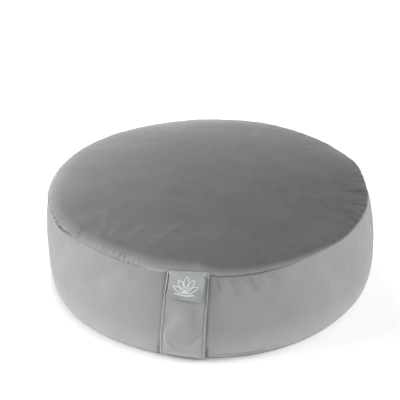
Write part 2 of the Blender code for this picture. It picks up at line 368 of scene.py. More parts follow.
def fill_with_hulls(obj):
    mesh = obj.data
    before = points_of(mesh)
    azimuth, distance, down = on_cover(before)
    eased = smooth(1.0 + np.minimum(distance, 0.0) / EASE_REACH) * (distance < 0.0)
    free = ((kept_value(mesh, "sewn") < 0.5) * free_of_strap(azimuth, distance, down))[:, None]
    sewn_group = obj.vertex_groups.new(name="sewn")
    eased_group = obj.vertex_groups.new(name="eased")
    for index in np.nonzero(free[:, 0] < 0.02)[0]:
        sewn_group.add([int(index)], 1.0, "REPLACE")
    dice = random.Random(4)
    for index in np.nonzero(eased > 0.01)[0]:
        eased_group.add([int(index)], float(eased[index]) * dice.uniform(0.6, 1.0), "REPLACE")
    set_points(mesh, before - points_of(mesh, "normal") * FILL_START * free)
    cloth = obj.modifiers.new("fill", "CLOTH")
    settings = cloth.settings
    settings.quality = 6
    settings.mass = 0.3
    settings.tension_stiffness = 25.0
    settings.compression_stiffness = 12.0
    settings.shear_stiffness = 5.0
    settings.bending_stiffness = 0.4
    settings.use_pressure = True
    settings.uniform_pressure_force = FILL_PRESSURE
    settings.effector_weights.gravity = 0.0
    settings.vertex_group_mass = "sewn"
    settings.vertex_group_shrink = "eased"
    settings.shrink_min = 0.0
    settings.shrink_max = EASE
    cloth.collision_settings.use_collision = False
    cloth.point_cache.frame_end = FILL_FRAMES
    for number in range(1, FILL_FRAMES + 1):
        bpy.context.scene.frame_set(number)
    filled = obj.evaluated_get(bpy.context.evaluated_depsgraph_get())
    after = points_of(filled.data)
    obj.modifiers.remove(cloth)
    bpy.context.scene.frame_set(1)
    move = (after - before) * free
    move -= (1.0 - FILL_SWELL) * evened(mesh, move, FILL_EVENING)
    left = by_azimuth(BUCKLED, azimuth)
    left *= BUCKLED_INSIDE + (1.0 - BUCKLED_INSIDE) * smooth(1.0 + distance / BUCKLED_REACH)
    move *= free * np.where(distance < 0.0, left, 0.8)[:, None]
    length = np.linalg.norm(move, axis=1, keepdims=True)
    move *= np.minimum(1.0, FILL_MOST / np.maximum(length, 1e-9))

    fine = move - evened(mesh, move, 10)
    keep_value(mesh, "buckle", np.sum(fine * points_of(mesh, "normal"), axis=1) / MM)
    set_points(mesh, before + move)
    obj.vertex_groups.clear()


fill_with_hulls(cover)


def finer(obj, levels=1):
    """Subdivides a piece smoothly and keeps the result as its mesh."""
    subdivision = obj.modifiers.new("finer", "SUBSURF")
    subdivision.levels = subdivision.render_levels = levels
    made = bpy.data.meshes.new_from_object(obj.evaluated_get(bpy.context.evaluated_depsgraph_get()))
    obj.modifiers.remove(subdivision)
    obj.data = made


finer(cover)


def close_base(mesh):
    """The flat middle of the base panel."""
    bm = opened(mesh)
    hem = [e for e in bm.edges if e.is_boundary]
    for vert in {v for e in hem for v in e.verts}:
        vert.co.z = 0.0
    middle = bmesh.ops.contextual_create(bm, geom=hem)["faces"]
    bmesh.ops.triangulate(bm, faces=middle)
    bmesh.ops.recalc_face_normals(bm, faces=bm.faces)
    bm.to_mesh(mesh)
    bm.free()


close_base(cover.data)


def split_rim(mesh, on_panel, on_side):
    """Halves the columns of the mesh beside the top seam, where the gathers are narrow."""
    bm = opened(mesh)
    bm.verts.ensure_lookup_table()
    _, distance, _ = on_cover(np.array([v.co for v in bm.verts]))
    near = (distance > -on_panel) & (distance < on_side)
    chosen = []
    for e in bm.edges:
        a, b = (v.index for v in e.verts)
        run = e.verts[1].co - e.verts[0].co
        middle = e.verts[0].co + 0.5 * run
        across = abs(run.x * middle.x + run.y * middle.y) / middle.xy.length
        if near[a] and near[b] and max(across, abs(run.z)) < 0.35 * run.length:
            chosen.append(e)
    bmesh.ops.subdivide_edges(bm, edges=chosen, cuts=1, use_grid_fill=True)
    bm.to_mesh(mesh)
    bm.free()


split_rim(cover.data, 16 * MM, 9 * MM)

# How closely the top panel is gathered round its edge: finely at the left of the strap, in wider
# and longer folds at the right side and the back, and hardly at all in front.
GATHERED = (
    # azimuth, depth mm, pitch mm, reach mm
    (-170, 0.18, 14, 16), (-120, 0.25, 13, 16), (-85, 0.2, 9, 13), (-66, 0.22, 7.5, 12), (-56, 0.35, 6, 11),
    (-46, 0.32, 5.4, 11), (-30, 0.7, 5.2, 11), (-15, 0.55, 5, 9), (0, 0.3, 6, 7), (12, 0.22, 7, 6),
    (40, 0.15, 8, 6), (60, 0.38, 12, 16), (75, 0.46, 12, 26), (102, 0.46, 12, 26), (114, 0.22, 14, 20),
    (140, 0.12, 16, 18),
)
# How they lean on their way in from the seam: azimuth, and degrees for each metre.
GATHERS_LEAN = (
    (-75, 0), (-58, 120), (-46, 180), (-25, 100), (-8, 0), (50, 0), (75, 210), (105, 210), (130, 0),
)
# How far a gather runs down the band as a share of its reach, and the even depth of them all.
GATHER_DOWN, GATHER_EVEN = 0.35, 0.43
PILE_LUMP = 0.55 * MM


def gathers(azimuth, distance):
    """Depth of the gathers beside the top seam, and how far they stand out from their even depth."""
    dice = random.Random(21)
    depth, stand_out = np.zeros(len(azimuth)), np.zeros(len(azimuth))
    near = np.nonzero(np.abs(distance) < 40 * MM)[0]
    az, away = azimuth[near], distance[near]

    def fading(reach):
        """A gather runs further in on the top panel than down the band."""
        return smooth(1.0 + np.where(away < 0.0, away, -away / GATHER_DOWN) / reach)

    rim = float(np.mean(top_seam[1]))
    shallow_at_seam = 0.35 + 0.65 * smooth(np.abs(away) / (3.0 * MM))
    total = np.zeros(len(near))
    middle = -180.0
    while middle < 180.0:
        deep, pitch, reach = (float(by_azimuth(GATHERED, middle, column)) for column in (1, 2, 3))
        degrees_each = math.degrees(pitch * MM / rim)
        middle += degrees_each * dice.uniform(0.7, 1.3)
        deep *= dice.uniform(0.55, 1.2) * MM
        wide = degrees_each * dice.uniform(0.42, 0.58)
        reach *= dice.uniform(0.6, 1.2) * MM * (1.6 if dice.random() < 0.12 else 1.0)
        slant = dice.uniform(-0.30, 0.30) * degrees_each / (5 * MM) + float(by_azimuth(GATHERS_LEAN, middle))
        across = np.abs((az - middle - slant * away + 180.0) % 360.0 - 180.0) / wide
        total += deep * smooth(1.0 - across) * fading(reach) * shallow_at_seam
    deep, reach = (by_azimuth(GATHERED, az, column) * MM for column in (1, 3))
    depth[near] = total
    stand_out[near] = GATHER_EVEN * deep * fading(reach) - total
    return depth, stand_out


# The tuck at the left: the top panel's edge rolls out and down over the band, which is caught in
# under it, and the panel is folded up closely above it.
TUCK_AZIMUTH, TUCK_SPREAD = -54.0, 19.0
TUCK_OUT, TUCK_DOWN, TUCK_IN = 2.8 * MM, 2.4 * MM, 2.2 * MM
TUCK_FOLDS = (
    # azimuth, half width in degrees, reach mm, depth mm
    (-64, 1.8, 10, 0.2), (-60, 1.6, 12, 0.3), (-57, 1.3, 12, 0.45), (-54, 1.2, 11, 0.5), (-51, 1.1, 10, 0.3),
)


def tuck_folds(azimuth, distance):
    depth = np.zeros(len(azimuth))
    for middle, wide, reach, deep in TUCK_FOLDS:
        across = np.abs(azimuth - middle - 0.12 * distance / MM) / wide
        along = smooth(1.0 + distance / (reach * MM)) * (0.3 + 0.7 * smooth(-distance / (3.0 * MM)))
        depth += deep * MM * smooth(1.0 - across) * along * (distance < 0.0)
    return depth


# Soft drag lines where the cloth is pulled between its seams and its filling.
# On the band, azimuth and share of the way down; on the top, x and y. Each runs from its first
# end to its second, is wide and high in mm, and a line below 0 mm is a trough.
BAND_WAVES = (
    # azimuth, down, azimuth, down, width mm, height mm
    (48, 0.86, 100, 0.8, 14, 0.9), (9, 0.02, 10.4, 0.16, 1.8, -0.8), (11.6, 0.03, 13.6, 0.15, 1.9, 0.6),
    (13.8, 0.06, 15.8, 0.22, 2.2, -0.6), (16.2, 0.04, 19, 0.18, 1.8, 0.8), (19.1, 0.04, 21.4, 0.18, 1.8, -0.9),
    (22.8, 0.04, 25, 0.15, 2, 0.65), (26.2, 0.03, 28.4, 0.14, 2, -0.6), (31, 0.03, 33.4, 0.15, 2.2, 0.4),
    (36, 0.03, 38, 0.14, 2.2, -0.4), (42, 0.03, 45, 0.18, 2.8, 0.4), (12, 0.05, 9, 0.4, 6, 0.4),
    (24, 0.3, 34, 0.62, 12, -0.4), (44, 0.2, 52, 0.62, 12, 0.4), (11, 0.972, 26, 0.984, 1.2, 0.45),
    (9, 0.945, 25, 0.966, 1, -0.65), (28, 0.88, 40, 0.96, 4, 0.35), (22, 0.97, 24, 0.9, 1.8, -0.5),
    (26, 0.97, 28.5, 0.91, 1.8, -0.4), (-18, 0.08, -27, 0.36, 7, 0.4), (-25, 0.1, -36, 0.42, 8, -0.4),
    (-42, 0.1, -50, 0.55, 9, 0.4), (-66, 0.08, -62, 0.5, 3.4, -0.6), (-70, 0.05, -68, 0.62, 3.2, 0.6),
    (-74, 0.05, -74, 0.6, 3.2, -0.7), (-79, 0.04, -81, 0.55, 3.6, 0.7), (-86, 0.04, -87, 0.5, 3.4, -0.7),
    (63, 0.04, 64, 0.26, 3, 0.5), (68, 0.04, 70, 0.22, 3, -0.5), (72.5, 0.04, 75, 0.3, 3, 0.5),
    (78, 0.05, 80, 0.4, 6, -0.5), (96, 0.05, 100, 0.45, 6, -0.6), (140, 0.06, 150, 0.5, 8, 0.7),
    (172, 0.06, 168, 0.44, 7, -0.7), (-150, 0.06, -142, 0.5, 8, 0.7), (-118, 0.05, -112, 0.44, 6, -0.7),
)
TOP_CREASES = (
    # x, y, x, y in metres, width mm, height mm
    (-0.102, -0.096, -0.099, -0.134, 2.2, 0.5), (-0.106, -0.112, -0.111, -0.104, 2, 0.4),
    (-0.108, -0.12, -0.116, -0.134, 2.2, -0.1), (-0.079, -0.122, -0.088, -0.15, 2.4, 0.45),
    (-0.054, -0.127, -0.071, -0.155, 2.6, 0.45), (-0.014, -0.118, -0.042, -0.16, 3.4, 0.4),
    (-0.104, -0.131, -0.1, -0.15, 2, 0.35), (-0.092, -0.13, -0.094, -0.156, 3, -0.35),
    (-0.062, -0.146, -0.078, -0.164, 3, -0.3), (-0.02, -0.15, 0.03, -0.132, 6, 0.2),
    (-0.16, 0.05, -0.12, 0.07, 5, 0.4), (-0.1, 0.14, -0.07, 0.1, 6, -0.4), (0.06, 0.156, 0.046, 0.11, 6, 0.4),
)
# Where the filling stands a little higher or lower under the rim.
RIM_SWELLS = (
    # x, y, radius, height, all in metres
    (0.168, 0.078, 0.04, 0.0019), (0.157, 0.096, 0.022, -0.001), (0.183, 0.032, 0.032, 0.0021),
    (0.118, 0.124, 0.035, 0.0012), (-0.08, 0.09, 0.04, 0.001), (-0.178, 0.002, 0.035, 0.0009),
)


def soft_line(x, y, start, end, wide):
    """1 on a straight soft line, falling to 0 at its width and towards its ends."""
    run = np.subtract(end, start)
    length = np.hypot(*run)
    along = ((x - start[0]) * run[0] + (y - start[1]) * run[1]) / length**2
    aside = np.abs((x - start[0]) * run[1] - (y - start[1]) * run[0]) / length
    aside += 0.25 * wide * np.sin(5.0 * along)
    return np.exp(-((aside / wide) ** 2)) * smooth(along / 0.3 + 0.4) * smooth((1.2 - along) / 0.5)


def band_line(azimuth, down, from_azimuth, from_down, to_azimuth, to_down, wide):
    """A soft line on the band between two places, its width in mm."""
    start = (math.radians(from_azimuth) * BAND_RADIUS, from_down * band_tall)
    end = (math.radians(to_azimuth) * BAND_RADIUS, to_down * band_tall)
    return soft_line(np.radians(azimuth) * BAND_RADIUS, down * band_tall, start, end, wide * MM)


def soft_spot(x, y, middle_x, middle_y, wide, tall):
    """1 in the middle of a round or oval spot, falling off softly round it."""
    return np.exp(-(((x - middle_x) / wide) ** 2) - ((y - middle_y) / tall) ** 2)


def handle(mesh):
    """Gives the cover its gathers, tuck, drag lines and the small lumps of the hulls."""
    points, normals = points_of(mesh), points_of(mesh, "normal")
    x, y, z = points.T
    azimuth, distance, down = on_cover(points)
    is_panel = distance < 0.0
    on_side = ~is_panel & (down < 1.0)
    gathered, stand_out = gathers(azimuth, distance)
    folds = tuck_folds(azimuth, distance)
    relief = -gathered - folds
    for *line, high in BAND_WAVES:
        relief += on_side * high * MM * band_line(azimuth, down, *line)
    for xa, ya, xb, yb, wide, high in TOP_CREASES:
        relief += is_panel * high * MM * soft_line(x, y, (xa, ya), (xb, yb), wide * MM)
    free = free_of_strap(azimuth, distance, down) * (z >= 0.3 * MM)
    relief *= free
    lumps = np.array([noise.noise(Vector(p) * 28.0) + 0.5 * noise.noise(Vector(p) * 75.0) for p in points])
    away_from_seams = smooth(np.abs(distance) / (10 * MM)) * smooth((z - 4 * MM) / (12 * MM))
    proud = relief + PILE_LUMP * lumps * away_from_seams * free
    outward = points * (1.0, 1.0, 0.0) / np.maximum(np.hypot(x, y), 1e-6)[:, None]
    spread = smooth(1.0 - np.abs(azimuth - TUCK_AZIMUTH) / TUCK_SPREAD)
    rolled = spread * smooth(1.0 + distance / (7 * MM)) * is_panel
    caught = spread * smooth(1.0 - distance / (6 * MM)) * on_side
    moved = points + normals * proud[:, None]
    moved += outward * (TUCK_OUT * rolled - TUCK_IN * caught)[:, None]
    moved[:, 2] -= TUCK_DOWN * rolled
    for at_x, at_y, radius, high in RIM_SWELLS:
        moved[:, 2] += high * soft_spot(x, y, at_x, at_y, radius, radius) * smooth(-distance / (5 * MM))
    keep_value(mesh, "relief", (relief + gathered) / MM)
    keep_value(mesh, "gather", free * (stand_out - 0.5 * folds) / MM)
    set_points(mesh, moved)


handle(cover.data)

# Velvet looks light where its pile lies over and dark where the pile points at the eye. The top was
# brushed towards the back left, so it is dark at the front right. Painted light and shade is added to
# the same lightness: a painted highlight where the top's edge rolls over, painted highlights on folds
# and painted shade in troughs, seams, the tuck, beside the strap and at the foot. A fold also opens
# the pile and a trough closes it. These are shares of the way from the darkest to the lightest pile.
# The band's own lightness, and how much lighter its lower part is painted, as painted light of the floor's bounce
# and of sheen.
NAP_BAND, PAINTED_LIGHT_NEAR_FOOT = 0.62, 0.19
# The turned edge of the base: azimuths, and lightness there, darkest at the front right of the strap
# as painted contact shadow.
BASE_EDGE_TONE_AND_SHADE = ((-12, 5, 20, 32), (0.6, 0.24, 0.24, 0.7))
# The band close under the top seam: azimuths, and differences in lightness there, mostly painted
# shade under the rim.
SHADE_UNDER_RIM = ((8, 12, 22, 28, 34, 90), (-0.04, -0.1, -0.05, -0.03, 0.04, 0.02))
UNDER_RIM = 0.25
# A fine dark line of painted shade runs beside the foot seam at the right of the strap: azimuth and
# share of the way down where it starts, the same where it ends, width in mm and darkness.
FOOT_LINE = (9, 0.96, 27, 0.976, 0.8, 0.26)
# Darker patches on the band: azimuth and degrees to either side of it, share of the way down and the
# same again, how full the patch is, and darkness.
BAND_PATCHES = ((-35, 25, 0.8, 0.2, 1, 0.03), (74, 34, 0.84, 0.16, 1.2, 0.12))
# The top's own lightness, lighter towards the back left, where its pile was brushed and also as painted light from
# the back left, and lighter towards its edges as painted sheen.
NAP_TOP = 0.197
BRUSH_AND_LIGHT_WAY = (-0.8, 0.6)
BRUSHED_AND_LIT, SHEEN_AT_EDGE_ALONG, SHEEN_AT_EDGE_ASIDE = 0.21, 0.158, 0.12
# Painted highlight on what stands out and painted shade in troughs, gathers and buckles, by height.
SHADE_BY_RELIEF, MOST_SHADE_BY_RELIEF = 0.14, 0.11
SHADE_BY_GATHER, MOST_SHADE_BY_GATHER = 0.30, 0.16
SHADE_BY_BUCKLE = 0.08
# The line of the top seam is painted dark as painted shade where it gapes, and painted light where
# the panel rolls over it.
SEAM_LINE_WIDE = 1.0 * MM
SEAM_LINE = (
    # azimuth, darkness
    (-180, 0.1), (-75, 0.1), (-65, 0.2), (-59, 0.5), (-52, 0.6), (-47, 0.4), (-42, 0.05), (-36, 0.09),
    (-14, 0.03), (-11, -0.6), (6.5, -0.6), (9, 0.08), (12, 0.28), (16, 0.22), (22, 0.26), (28, 0.08),
    (34, 0.02), (42, 0.16), (80, 0.16), (105, 0.08), (125, 0.1),
)
# Painted shadow in the tuck under the rolled edge, and a little lighter some 7 mm below it.
SHADOW_IN_TUCK, LIGHTER_UNDER_TUCK = 0.50, 0.07
# The band beside the strap gets painted shade: darkness, and how far in mm. Close to the edge of the
# strap both have a part that is added near the floor, and a broad painted shade joins them there.
BESIDE_STRAP = (0.12, 3.5)
AGAINST_STRAP, AGAINST_STRAP_LOW = (0.22, 1.8), (0.36, 2.4)
LOW_BESIDE_STRAP = (0.15, 14.0)
# Painted light and shade round the band: azimuth and difference in lightness.
PAINTED_LIGHT_ROUND = (
    (-180, 0), (-120, 0), (-78, -0.02), (-48, -0.01), (-32, 0.06), (-18, 0.05), (18, 0.01), (30, 0.01),
    (45, -0.01), (58, 0), (72, 0.06), (110, 0.02),
)
# A painted highlight on the top's rolled edge, where the pile also opens over the roll.
ROLLED_EDGE = (
    # azimuth, width mm, lightness at the seam
    (-180, 55, 0.3), (-160, 50, 0.38), (-140, 40, 0.19), (-120, 25, 0.17), (-90, 27, 0.32), (-75, 22, 0.33),
    (-60, 16, 0.3), (-40, 17, 0.4), (-20, 19, 0.62), (-8, 18, 0.55), (0, 15, 0.42), (8, 11, 0.56),
    (18, 11, 0.5), (30, 8, 0.52), (40, 5, 0.4), (48, 4, 0.24), (60, 2.5, 0.12), (85, 5, 0.22), (105, 3, 0.09),
    (120, 10, 0.32), (140, 20, 0.04), (160, 40, 0.17),
)
# Where the pile of the top was pressed flat or ruffled: x, y and radius in metres, and lightness.
TOP_PATCHES = (
    (-0.115, -0.1, 0.045, -0.06), (0.13, -0.04, 0.05, -0.035), (0.175, 0.01, 0.05, -0.055),
    (-0.185, -0.03, 0.03, 0.08), (-0.14, -0.005, 0.03, -0.035), (-0.06, 0.14, 0.04, 0.03),
    (-0.07, 0.165, 0.05, 0.03), (-0.04, 0.02, 0.05, -0.03),
)


def paint_pile_light_and_shade(mesh):
    """Paints the cover's lightness at each point, 0 to 1: its pile, with painted light and shade."""
    points = points_of(mesh)
    x, y, _ = points.T
    azimuth, distance, down = on_cover(points)
    shade_by_form = np.clip(SHADE_BY_RELIEF * kept_value(mesh, "relief"), -MOST_SHADE_BY_RELIEF, MOST_SHADE_BY_RELIEF)
    gather = kept_value(mesh, "gather")
    shade_by_form += np.clip(SHADE_BY_GATHER * gather, -MOST_SHADE_BY_GATHER, MOST_SHADE_BY_GATHER)
    shade_by_form += SHADE_BY_BUCKLE * kept_value(mesh, "buckle")
    along = (x * BRUSH_AND_LIGHT_WAY[0] + y * BRUSH_AND_LIGHT_WAY[1]) / BAND_RADIUS
    aside = (x * BRUSH_AND_LIGHT_WAY[1] - y * BRUSH_AND_LIGHT_WAY[0]) / BAND_RADIUS
    top = NAP_TOP + BRUSHED_AND_LIT * along + SHEEN_AT_EDGE_ALONG * along**2 + SHEEN_AT_EDGE_ASIDE * aside**2
    for at_x, at_y, radius, lightness in TOP_PATCHES:
        top += lightness * soft_spot(x, y, at_x, at_y, radius, radius)
    wide = by_azimuth(ROLLED_EDGE, azimuth) * MM * (1.0 + np.clip(1.1 * gather, -0.5, 0.5))
    top += by_azimuth(ROLLED_EDGE, azimuth, 2) * np.clip(1.0 + distance / wide, 0.0, 1.0) ** 1.5
    side = NAP_BAND + by_azimuth(PAINTED_LIGHT_ROUND, azimuth) + PAINTED_LIGHT_NEAR_FOOT * smooth((down - 0.58) / 0.40)
    side += np.interp(azimuth, *SHADE_UNDER_RIM) * smooth(1.0 - down / UNDER_RIM)
    for at, spread, at_down, high, full, dark in BAND_PATCHES:
        side -= dark * smooth(1.0 - np.abs(azimuth - at) / spread) * smooth(full - np.abs(down - at_down) / high)
    side -= FOOT_LINE[-1] * band_line(azimuth, down, *FOOT_LINE[:-1])
    side = np.where(down > 1.0, np.interp(azimuth, *BASE_EDGE_TONE_AND_SHADE), side)
    spread = smooth(1.0 - np.abs(azimuth - TUCK_AZIMUTH) / (0.8 * TUCK_SPREAD))
    below = np.maximum(distance, 0.0) / MM
    side -= SHADOW_IN_TUCK * spread * smooth(1.0 - below / 4.5)
    side += LIGHTER_UNDER_TUCK * spread * np.exp(-(((below - 7.0) / 2.5) ** 2))
    lowest = smooth((down - 0.80) / 0.12)
    against = [edge + low * lowest for edge, low in zip(AGAINST_STRAP, AGAINST_STRAP_LOW)]
    low_beside = (LOW_BESIDE_STRAP[0] * lowest, LOW_BESIDE_STRAP[1])
    for dark, reach in (BESIDE_STRAP, against, low_beside):
        side -= dark * smooth(1.0 - np.abs(past_strap(azimuth, down)) / (reach * MM))
    in_seam = by_azimuth(SEAM_LINE, azimuth) * smooth(1.2 - np.abs(distance) / SEAM_LINE_WIDE)
    keep_value(mesh, "nap_and_painted_light", np.where(distance < 0.0, top, side) + shade_by_form - in_seam)


paint_pile_light_and_shade(cover.data)


def shader_tree(name):
    material = bpy.data.materials.new(name)
    material.use_nodes = True
    return material, material.node_tree, material.node_tree.nodes["Principled BSDF"]


def feed(tree, node, inputs):
    """Gives each input of a node a value, or links another node's output to it."""
    for socket, value in inputs.items():
        if isinstance(value, bpy.types.NodeSocket):
            tree.links.new(value, node.inputs[socket])
        else:
            node.inputs[socket].default_value = value


def add_node(tree, kind, inputs, **settings):
    """The outputs of a new node with these inputs and settings."""
    node = tree.nodes.new("ShaderNode" + kind)
    for name, value in settings.items():
        setattr(node, name, value)
    feed(tree, node, inputs)
    return node.outputs


def object_noise(tree, scale, detail, stretch=(1.0, 1.0, 1.0)):
    """A noise on the piece's own coordinates, in metres, stretched along an axis."""
    place = add_node(tree, "TexCoord", {})["Object"]
    mapped = add_node(tree, "Mapping", {"Vector": place, "Scale": stretch})["Vector"]
    return add_node(tree, "TexNoise", {"Vector": mapped, "Scale": scale, "Detail": detail})["Fac"]


def sum_of(tree, value, other, times):
    """value + other * times, where other is a noise about 0.5."""
    centred = add_node(tree, "Math", {0: other, 1: 0.5}, operation="SUBTRACT")[0]
    return add_node(tree, "Math", {0: centred, 1: times, 2: value}, operation="MULTIPLY_ADD")[0]


def colour_between(tree, tone, dark, light):
    """A colour from dark to light by a tone from 0 to 1."""
    inputs = {"Factor": tone, "A": (*dark, 1.0), "B": (*light, 1.0)}
    return add_node(tree, "Mix", inputs, data_type="RGBA", clamp_factor=True)["Result"]


def bump_by(tree, height, strength, distance):
    return add_node(tree, "Bump", {"Height": height, "Strength": strength, "Distance": distance})["Normal"]


# The velvet's darkest and lightest colours, between which the pile and the painted light and shade lie.
VELVET_DARKEST, VELVET_LIGHTEST = (0.10, 0.10, 0.10), (0.50, 0.50, 0.49)
PRESSED_MARKS, BRUSH_STREAKS, PILE_GRAIN = 0.10, 0.09, 0.17


def velvet(name):
    """Short-pile velvet: its tone follows the pile and the painted light and shade, broken up by pressed marks,
    streaks and grain.
    """
    material, tree, shader = shader_tree(name)
    nap_and_painted_light = add_node(tree, "Attribute", {}, attribute_name="nap_and_painted_light")["Fac"]
    grain = object_noise(tree, 1700.0, 2.0)
    tone = sum_of(tree, nap_and_painted_light, object_noise(tree, 26.0, 3.0), PRESSED_MARKS)
    tone = sum_of(tree, tone, object_noise(tree, 120.0, 4.0, (1.0, 1.0, 0.35)), BRUSH_STREAKS)
    colour = colour_between(tree, sum_of(tree, tone, grain, PILE_GRAIN), VELVET_DARKEST, VELVET_LIGHTEST)
    feed(tree, shader, {"Base Color": colour, "Normal": bump_by(tree, grain, 0.35, 0.0003), "Roughness": 0.9})
    feed(tree, shader, {"Specular IOR Level": 0.05, "Sheen Weight": 0.3, "Sheen Roughness": 0.35})
    return material


cover.data.materials.append(velvet("velvet_of_the_cover"))
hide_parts("cushion")
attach(cover, "root")

# ----------------------------------------
# The carry strap: one strip of the same velvet, folded to two layers with both long edges turned
# in and stitched down a few millimetres from the edge, which leaves a raised ridge outside each
# line of stitches. It is caught in the top seam and turns under at the foot seam.
# ----------------------------------------
STRAP_GAP, STRAP_SLACK = 0.45 * MM, 0.9 * MM
STRAP_TOP, STRAP_UNDER = 0.006, 0.03
# Its upper corner at the right, and the tag's with it, stand up over the roll of the top panel:
# azimuth, and mm above the seam.
STRAP_RAISED = ((0.0, 5.0, 7.4), (0.3, 1.2, 4.6))
# Where its lower end is, as a share of the band's height, at its left and at its right. Its hem
# stands up a little above the end, which is drawn in under the foot seam.
STRAP_ENDS = (0.989, 1.022)
STRAP_TURN_IN = 0.8 * MM
STRAP_HEM = ((0.895, 0.915, 0.930, 0.955, 0.980, 1.010), (1.0, 0.86, 1.0, 0.80, 0.55, 0.30))
# Half of its section: shares of the way from the middle to the edge, and thickness in mm there.
STRAP_SECTION = (
    (0, 0.3, 0.6, 0.78, 0.845, 0.872, 0.888, 0.908, 0.93, 0.965, 0.99, 1),
    (2.9, 3, 2.9, 2.7, 2.5, 1.75, 1.75, 2.6, 3.1, 3.05, 2.3, 1.3),
)
# The height of the band it runs down, and from where it runs straight to the foot seam.
STRAP_RUN, STRAP_STRAIGHT = 0.1032, 0.955
# Where the strap is pulled between its stitched edges and its sewn ends. Across is a share of
# STRAP_HALF_MM and down a share of STRAP_LONG, its length in mm.
STRAP_HALF_MM, STRAP_LONG = 24.0, 104.0
STRAP_CREASES = (
    # across, down, across, down, width mm, height mm
    (-0.8, 0.72, -0.2, 0.42, 4, 0.5), (-0.9, 0.68, -0.5, 0.88, 2.4, 0.5), (-0.85, 0.8, -0.45, 0.92, 1.8, -0.35),
    (-0.6, 0.74, -0.2, 0.86, 3.2, -0.4), (0.3, 0.86, 0.82, 0.7, 2.6, 0.45), (0.25, 0.78, 0.8, 0.64, 2.6, -0.4),
    (0.3, 0.34, 0.62, 0.64, 5.5, -0.5), (-0.35, 0.93, 0.8, 0.935, 1.8, 0.4), (0.72, 0.28, 0.8, 0.44, 1.8, 0.4),
    (-0.7, 0.36, -0.78, 0.58, 2, -0.4),
)
STITCH_PITCH, STITCH_LONG, STITCH_THICK = 3.1 * MM, 2.2 * MM, 0.42 * MM


def strap_bed(sideways, down):
    """The band's surface under the strap, which bridges the seams' grooves, and runs on below the foot."""
    azimuth = math.degrees(sideways / BAND_RADIUS)
    foot_radius, foot_height = (float(x) for x in seam_at(foot_seam, azimuth))
    if down >= 1.0:
        return around(azimuth, foot_radius, foot_height - (down - 1.0) * STRAP_RUN)
    top_radius, top_height = (float(x) for x in seam_at(top_seam, azimuth))
    raised = float(np.interp(azimuth, *STRAP_RAISED)) * MM / STRAP_RUN
    down -= raised * float(smooth(1.0 - down / 0.3))
    here = on_band(azimuth, down)
    if down < BAND_RINGS[0]:
        edge = on_band(azimuth, BAND_RINGS[0])
        share = max(0.0, (top_height - here.z) / (top_height - edge.z))
        return around(azimuth, top_radius + (math.hypot(edge.x, edge.y) - top_radius) * share**0.4, here.z)
    if down > STRAP_STRAIGHT:
        edge = on_band(azimuth, STRAP_STRAIGHT)
        share = (down - STRAP_STRAIGHT) / (1.0 - STRAP_STRAIGHT)
        radius = math.hypot(edge.x, edge.y) * (1.0 - share) + foot_radius * share
        here = around(azimuth, radius, here.z)
    return here


def strap_frame(sideways, down):
    """A point of the strap's bed and the way out from it."""
    step = 0.012
    beside = strap_bed(sideways + 1.5 * MM, down) - strap_bed(sideways - 1.5 * MM, down)
    below = strap_bed(sideways, down + step) - strap_bed(sideways, max(STRAP_TOP, down - step))
    return strap_bed(sideways, down), below.cross(beside).normalized()


def strap_creases(across, down):
    """How high the creases stand at a place of the strap, in mm."""
    sideways = across * strap_half_width(down) / MM
    height = 0.0
    for xa, ya, xb, yb, wide, high in STRAP_CREASES:
        start, end = (xa * STRAP_HALF_MM, ya * STRAP_LONG), (xb * STRAP_HALF_MM, yb * STRAP_LONG)
        height = height + high * soft_line(sideways, down * STRAP_LONG, start, end, wide)
    return height


def strap_thickness(across, down):
    """Thickness of the strap, with its ridges, its creases and the slight waver of its stitched edges."""
    waver = 0.012 * math.sin(31.0 * down + 1.7 * math.copysign(1.0, across))
    side = min(1.0, abs(across) * (1.0 + waver * smooth(abs(across) / 0.7) * smooth((1.0 - abs(across)) / 0.05)))
    thick = float(np.interp(side, *STRAP_SECTION))
    thick += 0.22 * smooth((side - 0.90) / 0.03) * math.sin(62.0 * down + 5.0 * math.copysign(1.0, across))
    thick += float(smooth((0.86 - side) / 0.08) * strap_creases(across, down))
    start = float(0.6 + 0.4 * smooth(down / 0.08))
    return thick * MM * start * float(np.interp(down, *STRAP_HEM))


def strap_point(across, down, layer):
    """A point of the strap: across from -1 to 1, layer 0 on the band and 1 on its outer face.

    Past the share 1 it turns in at its end.
    """
    laid = min(down, 1.0)
    sideways = strap_middle(laid) + across * float(strap_half_width(laid))
    end = float(np.interp(across, (-1.0, 1.0), STRAP_ENDS))
    here, out = strap_frame(sideways, laid + (end - 1.0) * float(smooth((laid - 0.55) / 0.45)))
    slack = STRAP_SLACK * math.sin(math.pi * laid) ** 2
    turned = (down - laid) / STRAP_UNDER
    lift = STRAP_GAP + slack + layer * strap_thickness(across, down) - STRAP_TURN_IN * turned**2
    return here + out * lift - Vector((0, 0, 0.3 * MM * turned))


